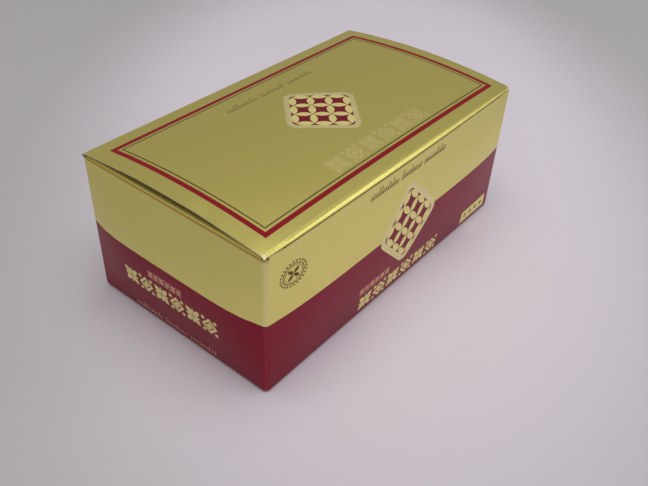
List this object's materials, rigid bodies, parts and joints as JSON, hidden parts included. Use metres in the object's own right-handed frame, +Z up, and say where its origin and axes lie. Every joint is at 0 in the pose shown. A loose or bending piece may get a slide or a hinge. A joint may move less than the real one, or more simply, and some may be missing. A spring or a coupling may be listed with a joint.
{
  "type": "sachet carton",
  "caption": "Gold foil-board carton with a burgundy lower band, a hinged tuck-in lid, dust flaps and a locking bottom, holding powder sachets on edge.",
  "frame": {"origin": "on the table, under the middle of the carton's box", "axes": "+X along the long walls, +Y from the tuck-in front wall to the hinged back wall, +Z up"},
  "size_m": [0.1656, 0.0954, 0.0665],
  "materials": {
    "foil_board": "satin gold foil film on folding-box board, printed, with the lower half of the walls burgundy; plain pale board inside",
    "sachet_film": "satin heat-sealed foil laminate"
  },
  "bodies": {
    "carton": {"carton_body": "foil_board", "sachet_01": "sachet_film", "sachet_02": "sachet_film", "sachet_03": "sachet_film", "sachet_04": "sachet_film", "sachet_05": "sachet_film", "sachet_06": "sachet_film", "sachet_07": "sachet_film", "sachet_08": "sachet_film", "sachet_09": "sachet_film", "sachet_10": "sachet_film", "sachet_11": "sachet_film", "sachet_12": "sachet_film", "sachet_13": "sachet_film", "sachet_14": "sachet_film", "sachet_15": "sachet_film", "sachet_16": "sachet_film", "sachet_17": "sachet_film", "sachet_18": "sachet_film", "sachet_19": "sachet_film", "sachet_20": "sachet_film", "sachet_21": "sachet_film", "sachet_22": "sachet_film", "sachet_23": "sachet_film", "sachet_24": "sachet_film", "sachet_25": "sachet_film", "sachet_26": "sachet_film", "sachet_27": "sachet_film", "sachet_28": "sachet_film", "sachet_29": "sachet_film", "sachet_30": "sachet_film"},
    "lid": {"lid": "foil_board"}
  },
  "joints": [
    {"name": "lid_hinge", "type": "hinge", "parent": "carton", "child": "lid", "pos_m": [0, 0.0455, 0.063], "axis": [-1, 0, 0], "range_deg": [0, 180]}
  ]
}
